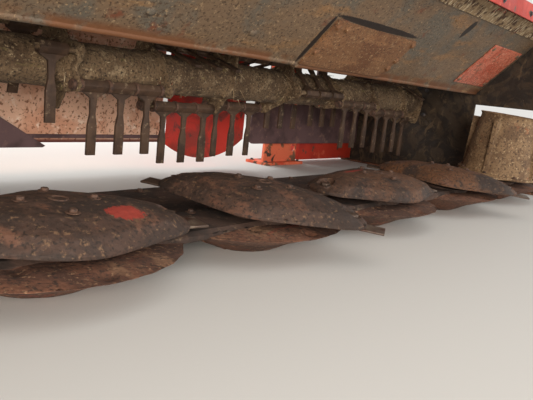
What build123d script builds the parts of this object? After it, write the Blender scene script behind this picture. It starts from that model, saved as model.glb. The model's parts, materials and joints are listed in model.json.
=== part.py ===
import os
from math import atan2, cos, degrees, pi, radians, sin

from build123d import *

# Frame: X across the machine, Y from the front to the back, Z up, ground at Z 0, millimetres
# Cutterbar and discs; the discs lean forward, and their heights are measured along their axes
disc_pitch = 400.0
disc_count = 6
disc_lean = 4.3
bar_front = -48.0
bar_back = 76.0
bar_bottom = 8.3
bar_top = 60.0
nose_low = 46.0
bevel_back = 52.0
boss_radius = 62.0
boss_top = 65.0
case_low = 38.0
case_sides = 20
stub_radius = 20.0
disc_z = 77.0
disc_plate = 5.0
disc_half_width = 110.0
disc_end_radius = 60.0
disc_half_length = 190.0
blade_pivot = 162.0
blade_reach = 222.0
blade_width = 42.0
blade_thickness = 4.0

# Conditioner rotor
rotor_y = 457.0
rotor_z = 283.0
tube_radius = 47.0
rotor_half_length = 1236.0
journal_radius = 30.0
journal_reach = 45.0
ear_thickness = 8.0
ear_root_radius = 56.0
ear_lobe_radius = 17.0
pin_radius = 78.0
rod_radius = 6.5
hub_radius = 13.5
tine_length = 140.0
tine_pitch = 68.0
hub_half = 29.0
section_length = 234.0
first_ear = -1032.0

# Housing
wall_x = 1260.0
wall_thickness = 8.0
lip_y = 207.0
lip_z = 340.0
strip_y = 19.0
strip_z = 532.0
plate_thickness = 5.0
deck_z = 580.0
cover_radius = 246.0
seat = 0.3
wall_front = -90.0
wall_back = 764.0
deck_front = -96.0
deck_back = 768.0
deck_low = deck_z - plate_thickness - seat

os.makedirs("parts", exist_ok=True)


def side_plane(x):
    """Plane at X = x whose sketch X is the model's Y and whose sketch Y is up."""
    return Plane(origin=(x, 0, 0), x_dir=(0, 1, 0), z_dir=(1, 0, 0))


disc_xs = [(i - (disc_count - 1) / 2) * disc_pitch for i in range(disc_count)]
disc_turns = [-63 if i % 2 == 0 else -10 for i in range(disc_count)]


def disc_plane(x, height, turn=0.0):
    """Plane square to a disc's axis, that far up the axis and turned about it."""
    lean = radians(disc_lean)
    up = height - disc_z
    level = Plane(
        origin=(x, -up * sin(lean), disc_z + up * cos(lean)),
        x_dir=(1, 0, 0),
        z_dir=(0, -sin(lean), cos(lean)),
    )
    return Plane(level.location * Location((0, 0, 0), (0, 0, turn)))


def disc_side(x):
    """Plane through a disc's axis: sketch X is the radius and sketch Y the height along the axis."""
    lean = radians(disc_lean)
    foot = disc_plane(x, 0).origin
    return Plane(origin=foot, x_dir=(1, 0, 0), z_dir=(0, -cos(lean), -sin(lean)))


# Cutterbar: wedge-shaped housing with a round gear case and bearing boss under each disc
with BuildPart() as cutterbar:
    with BuildSketch(side_plane(-wall_x + seat)):
        with BuildLine():
            Polyline(
                (bar_front, nose_low),
                (bar_front, bar_top - 6),
                (bar_front + 8, bar_top),
                (bar_back - 12, bar_top),
                (bar_back, bar_top - 10),
                (bar_back, bar_bottom),
                (bevel_back, bar_bottom),
                close=True,
            )
        make_face()
    extrude(amount=2 * (wall_x - seat))
    for x in disc_xs:
        with BuildSketch(disc_plane(x, case_low)):
            RegularPolygon(boss_radius, case_sides)
        extrude(amount=boss_top - case_low)
    for x in disc_xs:
        with BuildSketch(disc_plane(x, boss_top + 1)):
            Circle(stub_radius + seat)
        extrude(amount=-24, mode=Mode.SUBTRACT)
cutterbar.part.label = "cutterbar"
export_step(cutterbar.part, "parts/cutterbar.step")

# Skid shoes under the bar: a closed round nose in front and a flat sole that rises to a tail
shoe_half = 70.0
sole_front = 10.0
shoe_plate = 8.0
sole_back = 200.0
tail_back = 302.0
tail_z = 34.0
rim_half, rim_reach, rim_back = 196.0, 166.0, 28.0
rim_sides = 12
nose_rims = [
    # height, share of the rim's full size
    (0.0, 0.36),
    (20.0, 0.58),
    (40.0, 0.88),
    (48.0, 1.00),
    (54.0, 0.70),
]


def nose_outline(share):
    """Half an oval in front of rim_back, as corner points."""
    turns = [pi * k / rim_sides for k in range(rim_sides + 1)]
    return [(rim_half * share * cos(a), rim_back - rim_reach * share * sin(a)) for a in turns]


with BuildPart() as skid_shoes:
    for x in disc_xs:
        for height, share in nose_rims:
            with BuildSketch(Plane(origin=(x, 0, height))):
                with BuildLine():
                    Polyline(*nose_outline(share), close=True)
                make_face()
        loft(ruled=True)
    with BuildSketch(side_plane(-wall_x)):
        with BuildLine():
            Polyline(
                (bar_front - seat, 2 * bar_top),
                (bar_front - seat, nose_low - seat),
                (bevel_back, shoe_plate),
                (sole_back, shoe_plate),
                (sole_back, 2 * bar_top),
                close=True,
            )
        make_face()
    extrude(amount=2 * wall_x, mode=Mode.SUBTRACT)
    for x in disc_xs:
        with BuildSketch(disc_plane(x, case_low - seat)):
            RegularPolygon(boss_radius + seat, case_sides)
        extrude(amount=boss_top - case_low, mode=Mode.SUBTRACT)
    for x in disc_xs:
        with BuildSketch(side_plane(x - shoe_half)):
            with BuildLine():
                Polyline(
                    (sole_front, 0),
                    (sole_back, 0),
                    (sole_back + 54, tail_z),
                    (tail_back, tail_z),
                    (tail_back, tail_z + shoe_plate),
                    (sole_back + 50, tail_z + shoe_plate),
                    (sole_back - 6, shoe_plate),
                    (sole_front, shoe_plate),
                    close=True,
                )
            make_face()
        extrude(amount=2 * shoe_half)
skid_shoes.part.label = "skid_shoes"
export_step(skid_shoes.part, "parts/skid_shoes.step")

# Rear plate that closes the space behind the bar and ties the shoe tails together
rail_z = tail_z + shoe_plate + seat
with BuildPart() as rear_rail:
    with Locations((0, (bar_back + seat + tail_back) / 2, rail_z + 3)):
        Box(2 * (wall_x - seat), tail_back - bar_back - seat, 6)
rear_rail.part.label = "rear_rail"
export_step(rear_rail.part, "parts/rear_rail.step")

# Inner discs: a long crowned plate, pockets over the blade bolts and a stub in the bearing boss
crown = [
    # height, share of the plate's size
    (disc_z, 1.0),
    (disc_z + disc_plate, 1.0),
    (98.0, 0.86),
    (112.0, 0.55),
    (118.0, 0.18),
]
pocket_radius = 19.0
pocket_floor = 88.0


def disc_outline(share):
    """Outline of a disc's plate at that share of its size, drawn in the open sketch."""
    RegularPolygon(disc_half_width * share, 32)
    end_x = (disc_half_length - disc_end_radius) * share
    with Locations((end_x, 0), (-end_x, 0)):
        RegularPolygon(disc_end_radius * share, 24)
    make_hull()


stub_low = boss_top - 12
plate_top = disc_z + disc_plate
with BuildPart() as crowned_disc:
    for height, share in crown:
        with BuildSketch(Plane.XY.offset(height - disc_z)):
            disc_outline(share)
    loft(ruled=True)
    with BuildSketch(Plane.XY.offset(pocket_floor - disc_z)):
        with Locations((blade_pivot, 0), (-blade_pivot, 0)):
            RegularPolygon(pocket_radius, 12)
    extrude(amount=disc_plate * 6, mode=Mode.SUBTRACT)
    with BuildSketch(Plane.XY.offset(stub_low - disc_z)):
        Circle(stub_radius)
    extrude(amount=plate_top - stub_low)

for i in range(1, disc_count - 1):
    with BuildPart() as disc:
        with Locations(disc_plane(disc_xs[i], disc_z, disc_turns[i]).location):
            add(crowned_disc.part)
    disc.part.label = f"disc_{i}"
    export_step(disc.part, f"parts/disc_{i}.step")

# End discs: the same long plate, flat, with a turned drum on it and strakes up the drum's side
drum_rim = 93.0
drum_foot = drum_rim + 30
drum_tops = {0: 340.0, disc_count - 1: 273.0}
drive_shaft_top = 411.0
for i, top in drum_tops.items():
    x = disc_xs[i]
    bore = 18.0 if i == 0 else 24.0
    peak = drive_shaft_top if i == 0 else top - 4
    with BuildPart() as disc:
        with BuildSketch(disc_plane(x, disc_z, disc_turns[i])):
            disc_outline(1.0)
        extrude(amount=disc_plate)
        with BuildSketch(disc_side(x)):
            with BuildLine():
                Polyline(
                    (0, stub_low),
                    (stub_radius, stub_low),
                    (stub_radius, disc_z + 2),
                    (drum_foot, disc_z + 2),
                    (drum_foot, plate_top + 5),
                    (drum_foot - 13, plate_top + 5),
                    (drum_rim - 5, top - 8),
                    (drum_rim, top),
                    (drum_rim - 15, top - 8),
                    (bore, top - 8),
                    (bore, peak),
                    (0, peak),
                    close=True,
                )
            make_face()
        axis = disc_plane(x, disc_z)
        revolve(axis=Axis(axis.origin, axis.z_dir))
        with BuildSketch(disc_plane(x, disc_z + 8)):
            with PolarLocations(drum_rim + 11, 4):
                Rectangle(26, 12)
        extrude(amount=top - disc_z - 30)
    disc.part.label = f"disc_{i}"
    export_step(disc.part, f"parts/disc_{i}.step")

# Cutting blades under each disc's ends, with the heads of their bolts on top
blade_inner = blade_pivot - 14
for i, x in enumerate(disc_xs):
    under = disc_plane(x, disc_z - seat, disc_turns[i])
    blade_mid = (blade_inner + blade_reach) / 2
    with BuildPart() as blades:
        with BuildSketch(under):
            with Locations((blade_mid, 0), (-blade_mid, 0)):
                Rectangle(blade_reach - blade_inner, blade_width)
        extrude(amount=-blade_thickness)
        head_low = plate_top if i in drum_tops else pocket_floor
        with BuildSketch(disc_plane(x, head_low + seat, disc_turns[i])):
            with Locations((blade_pivot, 0), (-blade_pivot, 0)):
                RegularPolygon(11, 6)
        extrude(amount=6)
    blades.part.label = f"blades_{i}"
    export_step(blades.part, f"parts/blades_{i}.step")

# Conditioner rotor: where each section starts and ends, and at what angle its two rods sit
# Angles are from straight down towards the front; rest is how the tines lie: down, front or back
end_ear = rotor_half_length - 10
ear_xs = [-end_ear]
ear_xs += [first_ear + section_length * k for k in range(10)]
ear_xs += [end_ear]
rod_rows = [
    # section, angle, rest, tines, first tine and start of the rod from the section's left ear
    (0, 20, "down", 2, 60, 0),
    (0, 200, "front", 2, 60, 0),
    (1, 61, "down", 3, 40, 0),
    (1, 241, "front", 3, 40, 0),
    (2, -12, "down", 3, 60, 0),
    (2, 168, "back", 3, 60, 0),
    (3, 110, "down", 1, 176, 140),
    (3, 210, "back", 1, 176, 0),
    (4, 61, "down", 3, 40, 0),
    (4, 241, "stub", 3, 40, 0),
    (5, -12, "down", 3, 64, 0),
    (5, 210, "front", 3, 64, 0),
    (6, -31, "down", 3, 36, 0),
    (6, 149, "back", 3, 36, 0),
    (7, -97, "down", 3, 64, 0),
    (7, 83, "back", 3, 64, 0),
    (8, 66, "down", 3, 34, 0),
    (8, -105, "down", 3, 58, 0),
    (9, 48, "down", 3, 34, 0),
    (9, 228, "front", 3, 40, 0),
    (10, 20, "down", 1, 60, 0),
    (10, 200, "front", 1, 60, 0),
]
bare_lobes = [
    # ear, angle
    (4, 0),
    (4, 180),
]


def pin_point(angle):
    """Centre of a rod as (Y, Z)."""
    a = radians(angle)
    return (rotor_y - pin_radius * sin(a), rotor_z - pin_radius * cos(a))


ear_lobes = bare_lobes + [(section + 1, angle) for section, angle, *_ in rod_rows]
ear_lobes += [(section, angle) for section, angle, *_, start in rod_rows if start == 0]


def ear_outline(angle):
    """Ear plate from its round root out to the lobe of one rod."""
    with BuildSketch() as outline:
        with Locations((rotor_y, rotor_z)):
            RegularPolygon(ear_root_radius, 10)
        with Locations(pin_point(angle)):
            RegularPolygon(ear_lobe_radius, 6)
        make_hull()
    return outline.sketch



# Rotor core: tube with journals, lobed ear plates, and rods welded through the ears
with BuildPart() as rotor_core:
    with BuildSketch(side_plane(-rotor_half_length)):
        with Locations((rotor_y, rotor_z)):
            Circle(tube_radius)
    extrude(amount=2 * rotor_half_length)
    with BuildSketch(side_plane(-wall_x - journal_reach)):
        with Locations((rotor_y, rotor_z)):
            Circle(journal_radius)
    extrude(amount=2 * (wall_x + journal_reach))
    for section, angle, rest, count, first, start in rod_rows:
        with BuildSketch(side_plane(ear_xs[section] + start)):
            with Locations(pin_point(angle)):
                RegularPolygon(rod_radius, 6)
        extrude(amount=ear_xs[section + 1] - ear_xs[section] - start)
    for ear, x in enumerate(ear_xs):
        with BuildSketch(side_plane(x - ear_thickness / 2)):
            for angle in [a for lobed_ear, a in ear_lobes if lobed_ear == ear]:
                add(ear_outline(angle))
    extrude(amount=ear_thickness)
rotor_core.part.label = "rotor_core"
export_step(rotor_core.part, "parts/rotor_core.step")

# One tine, hanging from the origin: hub on the rod, shouldered head, narrow neck and paddle
with BuildPart() as tine:
    with BuildSketch(side_plane(-hub_half)):
        RegularPolygon(hub_radius, 6)
    extrude(amount=2 * hub_half)
    with BuildSketch(Plane(origin=(0, -3.5, 0), x_dir=(1, 0, 0), z_dir=(0, 1, 0))):
        with BuildLine() as outline:
            Polyline(
                (0, 0),
                (hub_half - 2, 0),
                (hub_half - 3, 13),
                (8, 24),
                (6, 56),
                (10.5, 80),
                (10.5, tine_length),
                (0, tine_length),
            )
            mirror(outline.line, about=Plane.YZ)
        make_face()
    extrude(amount=7)
    with BuildSketch(side_plane(-hub_half - 1)):
        RegularPolygon(rod_radius + 1, 6)
    extrude(amount=2 * hub_half + 2, mode=Mode.SUBTRACT)

# Broken tine: the hub with a short stump
with BuildPart() as stump:
    add(tine.part)
    split(bisect_by=Plane(origin=(0, 0, -38), z_dir=(0.3, 0, 1)), keep=Keep.TOP)

# Tines placed on the rods, one node per way of resting; the stumps hang with the first
lean = 42.8
tine_spots = {"down": [], "front": [], "back": []}
stump_spots = []
for section, angle, rest, count, first, start in rod_rows:
    py, pz = pin_point(angle)
    inward = degrees(atan2(rotor_z - pz, rotor_y - py))
    turn = {"down": 0.0, "stub": 0.0, "front": inward - lean + 90, "back": inward + lean + 90}[rest]
    spots = stump_spots if rest == "stub" else tine_spots[rest]
    for j in range(count):
        spots.append(Location((ear_xs[section] + first + tine_pitch * j, py, pz), (turn, 0, 0)))

for rest, spots in tine_spots.items():
    with BuildPart() as tines:
        with Locations(*spots):
            add(tine.part)
        if rest == "down":
            with Locations(*stump_spots):
                add(stump.part)
    tines.part.label = f"tines_{rest}"
    export_step(tines.part, f"parts/tines_{rest}.step")

# Side walls, cut away at the front where the crop goes in
notch_back = 206.0
notch_top = 296.0
for side, sign in (("left", -1), ("right", 1)):
    with BuildPart() as wall:
        with BuildSketch(side_plane(sign * wall_x if sign > 0 else -wall_x - wall_thickness)):
            with BuildLine():
                Polyline(
                    (wall_front, bar_bottom),
                    (wall_back, bar_bottom),
                    (wall_back, deck_low),
                    (wall_front, deck_low),
                    (wall_front, notch_top),
                    (notch_back, notch_top),
                    (notch_back, bar_top + 10),
                    (wall_front, bar_top + 10),
                    close=True,
                )
            make_face()
            with Locations((rotor_y, rotor_z)):
                Circle(journal_radius + 6, mode=Mode.SUBTRACT)
        extrude(amount=wall_thickness)
    wall.part.label = f"side_wall_{side}"
    export_step(wall.part, f"parts/side_wall_{side}.step")

# Runners under the walls
runner_width = 90.0
runner_plate = bar_bottom - seat
with BuildPart() as end_shoes:
    for sign in (-1, 1):
        with BuildSketch(side_plane(sign * (wall_x + 30) - runner_width / 2)):
            with BuildLine():
                Polyline(
                    (-184, 44),
                    (-178, 48),
                    (-110, runner_plate),
                    (wall_back - 4, runner_plate),
                    (wall_back - 4, 0),
                    (-114, 0),
                    (-150, 14),
                    close=True,
                )
            make_face()
        extrude(amount=runner_width)
end_shoes.part.label = "end_shoes"
export_step(end_shoes.part, "parts/end_shoes.step")

# Rotor bearings on the outside of the walls
bearing_size = 124.0
with BuildPart() as bearings:
    for sign in (-1, 1):
        x0 = sign * (wall_x + wall_thickness + seat)
        plane = Plane(origin=(x0, rotor_y, rotor_z), x_dir=(0, 1, 0), z_dir=(sign, 0, 0))
        with BuildSketch(plane):
            RectangleRounded(bearing_size, bearing_size, 20)
            Circle(journal_radius + seat, mode=Mode.SUBTRACT)
        extrude(amount=14)
        with BuildSketch(plane.offset(13)):
            Circle(50)
            Circle(journal_radius + seat, mode=Mode.SUBTRACT)
        extrude(amount=20)
bearings.part.label = "rotor_bearings"
export_step(bearings.part, "parts/rotor_bearings.step")

# Hood plate in two panels that slope down to a rolled lip in front of the rotor
slope_y = lip_y - strip_y
slope_z = strip_z - lip_z
slope_long = (slope_y**2 + slope_z**2) ** 0.5
hood_seam = 125.0
hood_left = -880.0


def hood_plane(x, below=0.0):
    """Plane of the hood's underside: sketch X across, Y along the slope, normal down."""
    base = Plane(
        origin=(x, lip_y, lip_z),
        x_dir=(1, 0, 0),
        z_dir=(0, -slope_z / slope_long, -slope_y / slope_long),
    )
    return base.offset(below)


hood_up = -1 if hood_plane(0).y_dir.Z < 0 else 1
hood_long = slope_long + 54
lip_radius = 7.0
right_drop = 6.0
hood_panels = [
    # name, left edge, right edge, how far the lip reaches below the left panel's
    ("hood_panel_left", hood_left, hood_seam - seat, 0.0),
    ("hood_panel_right", hood_seam, wall_x - seat, right_drop),
]
for name, x0, x1, drop in hood_panels:
    lip_shift_y = drop * slope_y / slope_long
    lip_shift_z = drop * slope_z / slope_long
    with BuildPart() as panel:
        with BuildSketch(hood_plane((x0 + x1) / 2)):
            with Locations((0, hood_up * (hood_long - drop) / 2)):
                Rectangle(x1 - x0, hood_long + drop)
        extrude(amount=-plate_thickness)
        with BuildSketch(side_plane(x0)):
            with Locations((lip_y + lip_shift_y + 3, lip_z - lip_shift_z + 2.5)):
                Circle(lip_radius)
        extrude(amount=x1 - x0)
    panel.part.label = name
    export_step(panel.part, f"parts/{name}.step")

# Bolted patch plate on the left end of the right panel
patch_low, patch_high = 4.0, 142.0
patch_x0, patch_x1 = hood_seam + 5, 508.0
patch_mid = (patch_x0 + patch_x1) / 2
patch_thickness = 6.0
with BuildPart() as patch_plate:
    with BuildSketch(hood_plane(patch_mid, seat)):
        with Locations((0, hood_up * (patch_low + patch_high) / 2)):
            Rectangle(patch_x1 - patch_x0, patch_high - patch_low)
    extrude(amount=patch_thickness)
    with BuildSketch(hood_plane(patch_mid, patch_thickness)):
        with Locations((-174, hood_up * 127), (-136, hood_up * 127), (-172, hood_up * 48)):
            RegularPolygon(8, 6)
        with Locations((182, hood_up * 131), (180, hood_up * 71), (180, hood_up * 40)):
            RegularPolygon(8, 6)
    extrude(amount=6)
patch_plate.part.label = "patch_plate"
export_step(patch_plate.part, "parts/patch_plate.step")

# Thin overlap plate near the right wall
overlap_width, overlap_height = 264.0, 174.0
with BuildPart() as overlap_plate:
    with BuildSketch(hood_plane(wall_x - 160, seat)):
        with Locations((0, hood_up * (overlap_height / 2 + 34))):
            Rectangle(overlap_width, overlap_height)
    extrude(amount=3)
overlap_plate.part.label = "overlap_plate"
export_step(overlap_plate.part, "parts/overlap_plate.step")

# Ridged strip along the hood's front edge
strip_width = 52.0
with BuildPart() as front_strip:
    with BuildSketch(hood_plane((hood_left + wall_x) / 2, seat)):
        with Locations((0, hood_up * (slope_long + strip_width / 2 + 1))):
            Rectangle(wall_x - hood_left - 20, strip_width)
    extrude(amount=7)
front_strip.part.label = "front_strip"
export_step(front_strip.part, "parts/front_strip.step")

# Deck over the head with a folded front edge
deck_width = 2 * (wall_x + wall_thickness)
deck_fold = 44.0
with BuildPart() as deck:
    with Locations((0, (deck_back + deck_front) / 2, deck_z - plate_thickness / 2)):
        Box(deck_width, deck_back - deck_front, plate_thickness)
    with Locations((0, deck_front + plate_thickness / 2, deck_z - deck_fold / 2)):
        Box(deck_width, plate_thickness, deck_fold)
deck.part.label = "deck"
export_step(deck.part, "parts/deck.step")

# Main beam on the deck
beam_y, beam_size, beam_wall = 250.0, 140.0, 8.0
beam_top = deck_z + seat + beam_size
beam_half = wall_x - 20
with BuildPart() as main_beam:
    with BuildSketch(side_plane(-beam_half)):
        with Locations((beam_y, beam_top - beam_size / 2)):
            RectangleRounded(beam_size, beam_size, 16)
            RectangleRounded(beam_size - 2 * beam_wall, beam_size - 2 * beam_wall, 8, mode=Mode.SUBTRACT)
    extrude(amount=2 * beam_half)
main_beam.part.label = "main_beam"
export_step(main_beam.part, "parts/main_beam.step")

# Two pairs of hitch lugs on the beam, each pair on a foot plate
lug_bore = 16.0
lug_plate = 16.0
lug_foot = 10.0
lug_pair = 96.0
lug_x = 450.0
lug_z = deck_z + beam_size + 90
foot_top = beam_top + seat + lug_foot
with BuildPart() as hitch_lugs:
    for hx in (-lug_x, lug_x):
        for x0 in (hx - lug_pair / 2, hx + lug_pair / 2 - lug_plate):
            with BuildSketch(side_plane(x0)):
                with Locations((beam_y, lug_z)):
                    Circle(2.4 * lug_bore)
                with Locations((beam_y, foot_top)):
                    Rectangle(beam_size - 10, 12)
                make_hull()
                with Locations((beam_y, lug_z)):
                    Circle(lug_bore, mode=Mode.SUBTRACT)
            extrude(amount=lug_plate)
        with Locations((hx, beam_y, foot_top - lug_foot / 2)):
            Box(lug_pair, beam_size - 10, lug_foot)
hitch_lugs.part.label = "hitch_lugs"
export_step(hitch_lugs.part, "parts/hitch_lugs.step")

# Cover over the rotor, an arc of sheet between the walls
cover_front, cover_back = 155.0, 38.0
cover_plate = 4.0


def cover_point(radius, angle):
    """Point round the rotor's axis as (Y, Z), the angle from level at the back."""
    a = radians(angle)
    return (rotor_y + radius * cos(a), rotor_z + radius * sin(a))


with BuildPart() as rotor_cover:
    with BuildSketch(side_plane(-wall_x + seat)):
        outer = cover_radius + cover_plate
        middle = (cover_front + cover_back) / 2
        with BuildLine():
            ThreePointArc(
                cover_point(outer, cover_front),
                cover_point(outer, middle),
                cover_point(outer, cover_back),
            )
            Line(cover_point(outer, cover_back), cover_point(cover_radius, cover_back))
            ThreePointArc(
                cover_point(cover_radius, cover_back),
                cover_point(cover_radius, middle),
                cover_point(cover_radius, cover_front),
            )
            Line(cover_point(cover_radius, cover_front), cover_point(outer, cover_front))
        make_face()
    extrude(amount=2 * (wall_x - seat))
rotor_cover.part.label = "rotor_cover"
export_step(rotor_cover.part, "parts/rotor_cover.step")

# Rear cross tube, with the hinge brackets of the rear flap
hinge_y, hinge_z = 716.0, 492.0
hinge_rod = 6.0
rear_tube = 60.0
tube_y = hinge_y + 12
tube_low = deck_low - rear_tube
flap_x0, flap_x1 = -640.0, 530.0
with BuildPart() as rear_beam:
    with BuildSketch(side_plane(-wall_x + seat)):
        with Locations((tube_y, deck_low - rear_tube / 2)):
            Rectangle(rear_tube, rear_tube)
            Rectangle(rear_tube - 10, rear_tube - 10, mode=Mode.SUBTRACT)
    extrude(amount=2 * (wall_x - seat))
    for x0 in (flap_x0 + 40, -50, flap_x1 - 40):
        with BuildSketch(side_plane(x0)):
            with Locations((hinge_y, hinge_z)):
                RegularPolygon(2 * hinge_rod + 2, 8)
            with Locations((tube_y, tube_low + 3)):
                Rectangle(40, 6)
            make_hull()
            with Locations((hinge_y, hinge_z)):
                Circle(hinge_rod + seat, mode=Mode.SUBTRACT)
        extrude(amount=10)
rear_beam.part.label = "rear_beam"
export_step(rear_beam.part, "parts/rear_beam.step")

# Rear flap: flat sheet with a bottom flange, hung on a rod by straps
sheet_x1 = 170.0
sheet_low, sheet_top = 85.0, 462.0
sheet_mid = (flap_x0 + sheet_x1) / 2
sheet_plate = 4.0
with BuildPart() as flap_sheet:
    with Locations((sheet_mid, hinge_y, (sheet_top + sheet_low) / 2)):
        Box(sheet_x1 - flap_x0, sheet_plate, sheet_top - sheet_low)
    with Locations((sheet_mid, hinge_y + 12, sheet_low + sheet_plate / 2)):
        Box(sheet_x1 - flap_x0, 24, sheet_plate)
    with Locations(((flap_x0 + flap_x1) / 2, hinge_y, sheet_top - 2)):
        Box(flap_x1 - flap_x0, 16, 12)
    with BuildSketch(side_plane(flap_x0)):
        with Locations((hinge_y, hinge_z)):
            RegularPolygon(hinge_rod, 8)
    extrude(amount=flap_x1 - flap_x0)
    for x0 in (flap_x0 + 80, flap_x0 + 310, -100, 0, 230, flap_x1 - 80):
        with Locations((x0 + 6, hinge_y, (hinge_z + sheet_top) / 2)):
            Box(12, 2 * hinge_rod + 2, hinge_z - sheet_top + 16)
flap_sheet.part.label = "flap_sheet"
export_step(flap_sheet.part, "parts/flap_sheet.step")

# Deeper curved panel on the flap, beside the sheet
panel_half = 172.0
panel_y = hinge_y - 8 - 3 - seat
panel_x = flap_x1 - panel_half - 5
with BuildPart() as flap_panel:
    with BuildSketch(Plane(origin=(panel_x, panel_y, 0), x_dir=(1, 0, 0), z_dir=(0, -1, 0))):
        with BuildLine():
            Polyline(
                (-panel_half, sheet_low - 5),
                (-panel_half, sheet_top + 4),
                (panel_half, sheet_top + 4),
                (panel_half, sheet_low + 11),
            )
            ThreePointArc(
                (panel_half, sheet_low + 11),
                (-40, sheet_low - 49),
                (-panel_half, sheet_low - 5),
            )
        make_face()
    extrude(amount=-3)
flap_panel.part.label = "flap_panel"
export_step(flap_panel.part, "parts/flap_panel.step")

# Swath boards: a pointed one at the left, a deeper one with a rounded corner at the right
board_plate = 6.0
board_top = 300.0
board_end = wall_x - seat
left_y, right_y = 690.0, 702.0
strap_top = tube_low - seat
strap_x = 960.0
with BuildPart() as swath_left:
    with BuildSketch(Plane(origin=(0, left_y, 0), x_dir=(1, 0, 0), z_dir=(0, -1, 0))):
        with BuildLine():
            Polyline(
                (-board_end, 76),
                (-222, 76),
                (-214, 80),
                (-590, board_top),
                (-board_end, board_top),
                close=True,
            )
        make_face()
    extrude(amount=-board_plate)
    with Locations((-strap_x, left_y + board_plate + 7, (170 + strap_top) / 2)):
        Box(60, 14.6, strap_top - 170)
swath_left.part.label = "swath_board_left"
export_step(swath_left.part, "parts/swath_board_left.step")

with BuildPart() as swath_right:
    with BuildSketch(Plane(origin=(0, right_y, 0), x_dir=(1, 0, 0), z_dir=(0, -1, 0))):
        with BuildLine():
            Polyline((board_end, 79), (580, 79))
            ThreePointArc((580, 79), (556, 90), (548, 116))
            Polyline((548, 116), (590, board_top), (board_end, board_top), (board_end, 79))
        make_face()
    extrude(amount=-board_plate)
    with Locations((strap_x, right_y + board_plate + 5, (285 + strap_top) / 2)):
        Box(60, 10, strap_top - 285)
swath_right.part.label = "swath_board_right"
export_step(swath_right.part, "parts/swath_board_right.step")

# Rear legs: a plate, two ribs behind it and a foot
leg_x = 764.0
leg_y = 722.0
leg_plate = 8.0
leg_top = tube_low - seat
foot_plate = 10.0
with BuildPart() as rear_legs:
    for sign in (-1, 1):
        with BuildSketch(Plane(origin=(sign * leg_x, leg_y, 0), x_dir=(1, 0, 0), z_dir=(0, -1, 0))):
            with BuildLine():
                Polyline(
                    (-98, foot_plate - 1),
                    (98, foot_plate - 1),
                    (80, 300),
                    (60, leg_top),
                    (-60, leg_top),
                    (-84, 300),
                    close=True,
                )
            make_face()
            with Locations((sign * 74, 60)):
                Circle(15, mode=Mode.SUBTRACT)
        extrude(amount=-leg_plate)
        for rib_x in (sign * leg_x - 56, sign * leg_x + 50):
            with Locations((rib_x, leg_y + leg_plate + 15, (foot_plate + leg_top) / 2 - 1)):
                Box(leg_plate, 34, leg_top - foot_plate + 2)
        with Locations((sign * leg_x, leg_y + 22, foot_plate / 2)):
            Box(220, 100, foot_plate)
rear_legs.part.label = "rear_legs"
export_step(rear_legs.part, "parts/rear_legs.step")

# Box panel between the right leg and the wall, open to the wall
box_x0, box_x1 = leg_x + 113, wall_x - seat
box_low, box_high = 12.0, 300.0
box_plate = 7.0
with BuildPart() as corner_box:
    with Locations(((box_x0 + box_x1) / 2, leg_y + 28, (box_low + box_high) / 2)):
        Box(box_x1 - box_x0, 56, box_high - box_low)
    with Locations(((box_x0 + box_x1) / 2, leg_y + 28 + box_plate, (box_low + box_high) / 2)):
        Box(box_x1 - box_x0 - 2 * box_plate, 56, box_high - box_low - 2 * box_plate, mode=Mode.SUBTRACT)
corner_box.part.label = "corner_box"
export_step(corner_box.part, "parts/corner_box.step")

# Gearbox over the left drum, with bores for the drum's shaft and the input shaft
gear_z = 455.0
gear_low = 380.0
gear_x = disc_xs[0]
input_radius = 22.0
spline_radius = 17.4
neck_y = -100.0
with BuildPart() as gearbox:
    with BuildSketch(Plane(origin=(gear_x, 0, gear_low))):
        RectangleRounded(176, 150, 26)
    extrude(amount=150)
    with BuildSketch(Plane(origin=(gear_x, 0, gear_low + 149))):
        Rectangle(130, 110)
    extrude(amount=deck_low - gear_low - 149)
    with BuildSketch(Plane(origin=(gear_x, -74, gear_z), x_dir=(1, 0, 0), z_dir=(0, -1, 0))):
        Circle(52)
    extrude(amount=-74 - neck_y)
    with BuildSketch(disc_plane(gear_x, gear_low - 12)):
        Circle(18 + seat)
    extrude(amount=drive_shaft_top - gear_low + 16, mode=Mode.SUBTRACT)
    with BuildSketch(Plane(origin=(gear_x, neck_y - 1, gear_z), x_dir=(1, 0, 0), z_dir=(0, -1, 0))):
        Circle(input_radius + seat)
    extrude(amount=-50, mode=Mode.SUBTRACT)
gearbox.part.label = "gearbox"
export_step(gearbox.part, "parts/gearbox.step")

# Input shaft with a splined end
with BuildPart() as input_shaft:
    with BuildSketch(Plane(origin=(gear_x, neck_y + 40, gear_z), x_dir=(1, 0, 0), z_dir=(0, -1, 0))):
        Circle(input_radius)
    extrude(amount=50)
    with BuildSketch(Plane(origin=(gear_x, neck_y - 9, gear_z), x_dir=(1, 0, 0), z_dir=(0, -1, 0))):
        Circle(spline_radius)
        with PolarLocations(spline_radius, 6):
            Rectangle(4, 9, mode=Mode.SUBTRACT)
    extrude(amount=76)
input_shaft.part.label = "input_shaft"
export_step(input_shaft.part, "parts/input_shaft.step")

# Guard over the belt drive, outside the left wall and open towards it
guard_depth = 112.0
guard_plate = 4.0
guard_outer = -wall_x - wall_thickness - seat - guard_depth
pulley_y, pulley_z = 30.0, 440.0
with BuildPart() as drive_guard:
    with BuildSketch(side_plane(guard_outer)):
        with Locations((rotor_y, rotor_z)):
            Circle(150)
        with Locations((pulley_y, pulley_z)):
            Circle(100)
        make_hull()
    extrude(amount=guard_depth)
    with BuildSketch(side_plane(guard_outer + guard_plate)):
        with Locations((rotor_y, rotor_z)):
            Circle(150 - guard_plate)
        with Locations((pulley_y, pulley_z)):
            Circle(100 - guard_plate)
        make_hull()
    extrude(amount=guard_depth, mode=Mode.SUBTRACT)
drive_guard.part.label = "drive_guard"
export_step(drive_guard.part, "parts/drive_guard.step")
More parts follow.
